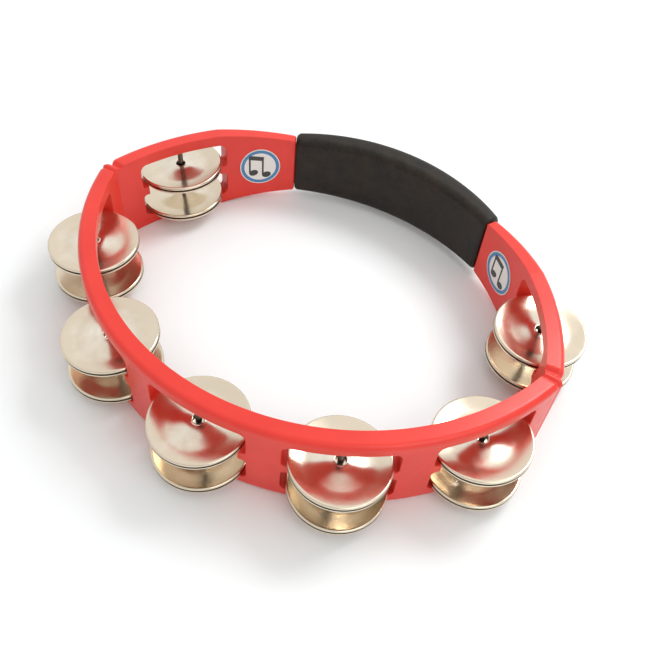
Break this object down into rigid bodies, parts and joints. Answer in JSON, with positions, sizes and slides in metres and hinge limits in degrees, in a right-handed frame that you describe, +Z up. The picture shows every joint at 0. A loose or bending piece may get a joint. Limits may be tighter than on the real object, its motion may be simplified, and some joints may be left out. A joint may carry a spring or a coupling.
{
  "type": "tambourine",
  "caption": "Hand-held tambourine: a moulded ring of two arcs with a soft grip and windows in which pairs of loose metal discs slide on pins.",
  "frame": {"origin": "centre of the object's box in plan, at the height of the frame's underside, on which the object lies", "axes": "+X from the left corner to the right corner, +Y towards the grip, +Z up through the ring"},
  "size_m": [0.2996, 0.2585, 0.055],
  "materials": {
    "red_plastic": "semi-gloss",
    "grip_rubber": "matte",
    "pin_steel": "satin",
    "jingle_nickel": "polished",
    "label_paper": "satin"
  },
  "bodies": {
    "frame_body": {"frame": "red_plastic", "grip": "grip_rubber", "label_left": "label_paper", "label_right": "label_paper", "pin_1": "pin_steel", "pin_2": "pin_steel", "pin_3": "pin_steel", "pin_4": "pin_steel", "pin_5": "pin_steel", "pin_6": "pin_steel", "pin_7": "pin_steel"},
    "jingle_1_lower_bottom_body": {"jingle_1_lower_bottom": "jingle_nickel"},
    "jingle_1_lower_top_body": {"jingle_1_lower_top": "jingle_nickel"},
    "jingle_1_upper_bottom_body": {"jingle_1_upper_bottom": "jingle_nickel"},
    "jingle_1_upper_top_body": {"jingle_1_upper_top": "jingle_nickel"},
    "jingle_2_lower_bottom_body": {"jingle_2_lower_bottom": "jingle_nickel"},
    "jingle_2_lower_top_body": {"jingle_2_lower_top": "jingle_nickel"},
    "jingle_2_upper_bottom_body": {"jingle_2_upper_bottom": "jingle_nickel"},
    "jingle_2_upper_top_body": {"jingle_2_upper_top": "jingle_nickel"},
    "jingle_3_lower_bottom_body": {"jingle_3_lower_bottom": "jingle_nickel"},
    "jingle_3_lower_top_body": {"jingle_3_lower_top": "jingle_nickel"},
    "jingle_3_upper_bottom_body": {"jingle_3_upper_bottom": "jingle_nickel"},
    "jingle_3_upper_top_body": {"jingle_3_upper_top": "jingle_nickel"},
    "jingle_4_lower_bottom_body": {"jingle_4_lower_bottom": "jingle_nickel"},
    "jingle_4_lower_top_body": {"jingle_4_lower_top": "jingle_nickel"},
    "jingle_4_upper_bottom_body": {"jingle_4_upper_bottom": "jingle_nickel"},
    "jingle_4_upper_top_body": {"jingle_4_upper_top": "jingle_nickel"},
    "jingle_5_lower_bottom_body": {"jingle_5_lower_bottom": "jingle_nickel"},
    "jingle_5_lower_top_body": {"jingle_5_lower_top": "jingle_nickel"},
    "jingle_5_upper_bottom_body": {"jingle_5_upper_bottom": "jingle_nickel"},
    "jingle_5_upper_top_body": {"jingle_5_upper_top": "jingle_nickel"},
    "jingle_6_lower_bottom_body": {"jingle_6_lower_bottom": "jingle_nickel"},
    "jingle_6_lower_top_body": {"jingle_6_lower_top": "jingle_nickel"},
    "jingle_6_upper_bottom_body": {"jingle_6_upper_bottom": "jingle_nickel"},
    "jingle_6_upper_top_body": {"jingle_6_upper_top": "jingle_nickel"},
    "jingle_7_lower_bottom_body": {"jingle_7_lower_bottom": "jingle_nickel"},
    "jingle_7_lower_top_body": {"jingle_7_lower_top": "jingle_nickel"},
    "jingle_7_upper_bottom_body": {"jingle_7_upper_bottom": "jingle_nickel"},
    "jingle_7_upper_top_body": {"jingle_7_upper_top": "jingle_nickel"}
  },
  "joints": [
    {"name": "jingle_1_lower_bottom_slide", "type": "slide", "parent": "frame_body", "child": "jingle_1_lower_bottom_body", "axis": [0, 0, 1], "range_m": [0, 0.005]},
    {"name": "jingle_1_lower_top_slide", "type": "slide", "parent": "jingle_1_lower_bottom_body", "child": "jingle_1_lower_top_body", "axis": [0, 0, 1], "range_m": [0, 0.005]},
    {"name": "jingle_1_upper_bottom_slide", "type": "slide", "parent": "frame_body", "child": "jingle_1_upper_bottom_body", "axis": [0, 0, 1], "range_m": [0, 0.005]},
    {"name": "jingle_1_upper_top_slide", "type": "slide", "parent": "jingle_1_upper_bottom_body", "child": "jingle_1_upper_top_body", "axis": [0, 0, 1], "range_m": [0, 0.005]},
    {"name": "jingle_2_lower_bottom_slide", "type": "slide", "parent": "frame_body", "child": "jingle_2_lower_bottom_body", "axis": [0, 0, 1], "range_m": [0, 0.005]},
    {"name": "jingle_2_lower_top_slide", "type": "slide", "parent": "jingle_2_lower_bottom_body", "child": "jingle_2_lower_top_body", "axis": [0, 0, 1], "range_m": [0, 0.005]},
    {"name": "jingle_2_upper_bottom_slide", "type": "slide", "parent": "frame_body", "child": "jingle_2_upper_bottom_body", "axis": [0, 0, 1], "range_m": [0, 0.005]},
    {"name": "jingle_2_upper_top_slide", "type": "slide", "parent": "jingle_2_upper_bottom_body", "child": "jingle_2_upper_top_body", "axis": [0, 0, 1], "range_m": [0, 0.005]},
    {"name": "jingle_3_lower_bottom_slide", "type": "slide", "parent": "frame_body", "child": "jingle_3_lower_bottom_body", "axis": [0, 0, 1], "range_m": [0, 0.005]},
    {"name": "jingle_3_lower_top_slide", "type": "slide", "parent": "jingle_3_lower_bottom_body", "child": "jingle_3_lower_top_body", "axis": [0, 0, 1], "range_m": [0, 0.005]},
    {"name": "jingle_3_upper_bottom_slide", "type": "slide", "parent": "frame_body", "child": "jingle_3_upper_bottom_body", "axis": [0, 0, 1], "range_m": [0, 0.005]},
    {"name": "jingle_3_upper_top_slide", "type": "slide", "parent": "jingle_3_upper_bottom_body", "child": "jingle_3_upper_top_body", "axis": [0, 0, 1], "range_m": [0, 0.005]},
    {"name": "jingle_4_lower_bottom_slide", "type": "slide", "parent": "frame_body", "child": "jingle_4_lower_bottom_body", "axis": [0, 0, 1], "range_m": [0, 0.005]},
    {"name": "jingle_4_lower_top_slide", "type": "slide", "parent": "jingle_4_lower_bottom_body", "child": "jingle_4_lower_top_body", "axis": [0, 0, 1], "range_m": [0, 0.005]},
    {"name": "jingle_4_upper_bottom_slide", "type": "slide", "parent": "frame_body", "child": "jingle_4_upper_bottom_body", "axis": [0, 0, 1], "range_m": [0, 0.005]},
    {"name": "jingle_4_upper_top_slide", "type": "slide", "parent": "jingle_4_upper_bottom_body", "child": "jingle_4_upper_top_body", "axis": [0, 0, 1], "range_m": [0, 0.005]},
    {"name": "jingle_5_lower_bottom_slide", "type": "slide", "parent": "frame_body", "child": "jingle_5_lower_bottom_body", "axis": [0, 0, 1], "range_m": [0, 0.005]},
    {"name": "jingle_5_lower_top_slide", "type": "slide", "parent": "jingle_5_lower_bottom_body", "child": "jingle_5_lower_top_body", "axis": [0, 0, 1], "range_m": [0, 0.005]},
    {"name": "jingle_5_upper_bottom_slide", "type": "slide", "parent": "frame_body", "child": "jingle_5_upper_bottom_body", "axis": [0, 0, 1], "range_m": [0, 0.005]},
    {"name": "jingle_5_upper_top_slide", "type": "slide", "parent": "jingle_5_upper_bottom_body", "child": "jingle_5_upper_top_body", "axis": [0, 0, 1], "range_m": [0, 0.005]},
    {"name": "jingle_6_lower_bottom_slide", "type": "slide", "parent": "frame_body", "child": "jingle_6_lower_bottom_body", "axis": [0, 0, 1], "range_m": [0, 0.005]},
    {"name": "jingle_6_lower_top_slide", "type": "slide", "parent": "jingle_6_lower_bottom_body", "child": "jingle_6_lower_top_body", "axis": [0, 0, 1], "range_m": [0, 0.005]},
    {"name": "jingle_6_upper_bottom_slide", "type": "slide", "parent": "frame_body", "child": "jingle_6_upper_bottom_body", "axis": [0, 0, 1], "range_m": [0, 0.005]},
    {"name": "jingle_6_upper_top_slide", "type": "slide", "parent": "jingle_6_upper_bottom_body", "child": "jingle_6_upper_top_body", "axis": [0, 0, 1], "range_m": [0, 0.005]},
    {"name": "jingle_7_lower_bottom_slide", "type": "slide", "parent": "frame_body", "child": "jingle_7_lower_bottom_body", "axis": [0, 0, 1], "range_m": [0, 0.005]},
    {"name": "jingle_7_lower_top_slide", "type": "slide", "parent": "jingle_7_lower_bottom_body", "child": "jingle_7_lower_top_body", "axis": [0, 0, 1], "range_m": [0, 0.005]},
    {"name": "jingle_7_upper_bottom_slide", "type": "slide", "parent": "frame_body", "child": "jingle_7_upper_bottom_body", "axis": [0, 0, 1], "range_m": [0, 0.005]},
    {"name": "jingle_7_upper_top_slide", "type": "slide", "parent": "jingle_7_upper_bottom_body", "child": "jingle_7_upper_top_body", "axis": [0, 0, 1], "range_m": [0, 0.005]}
  ]
}
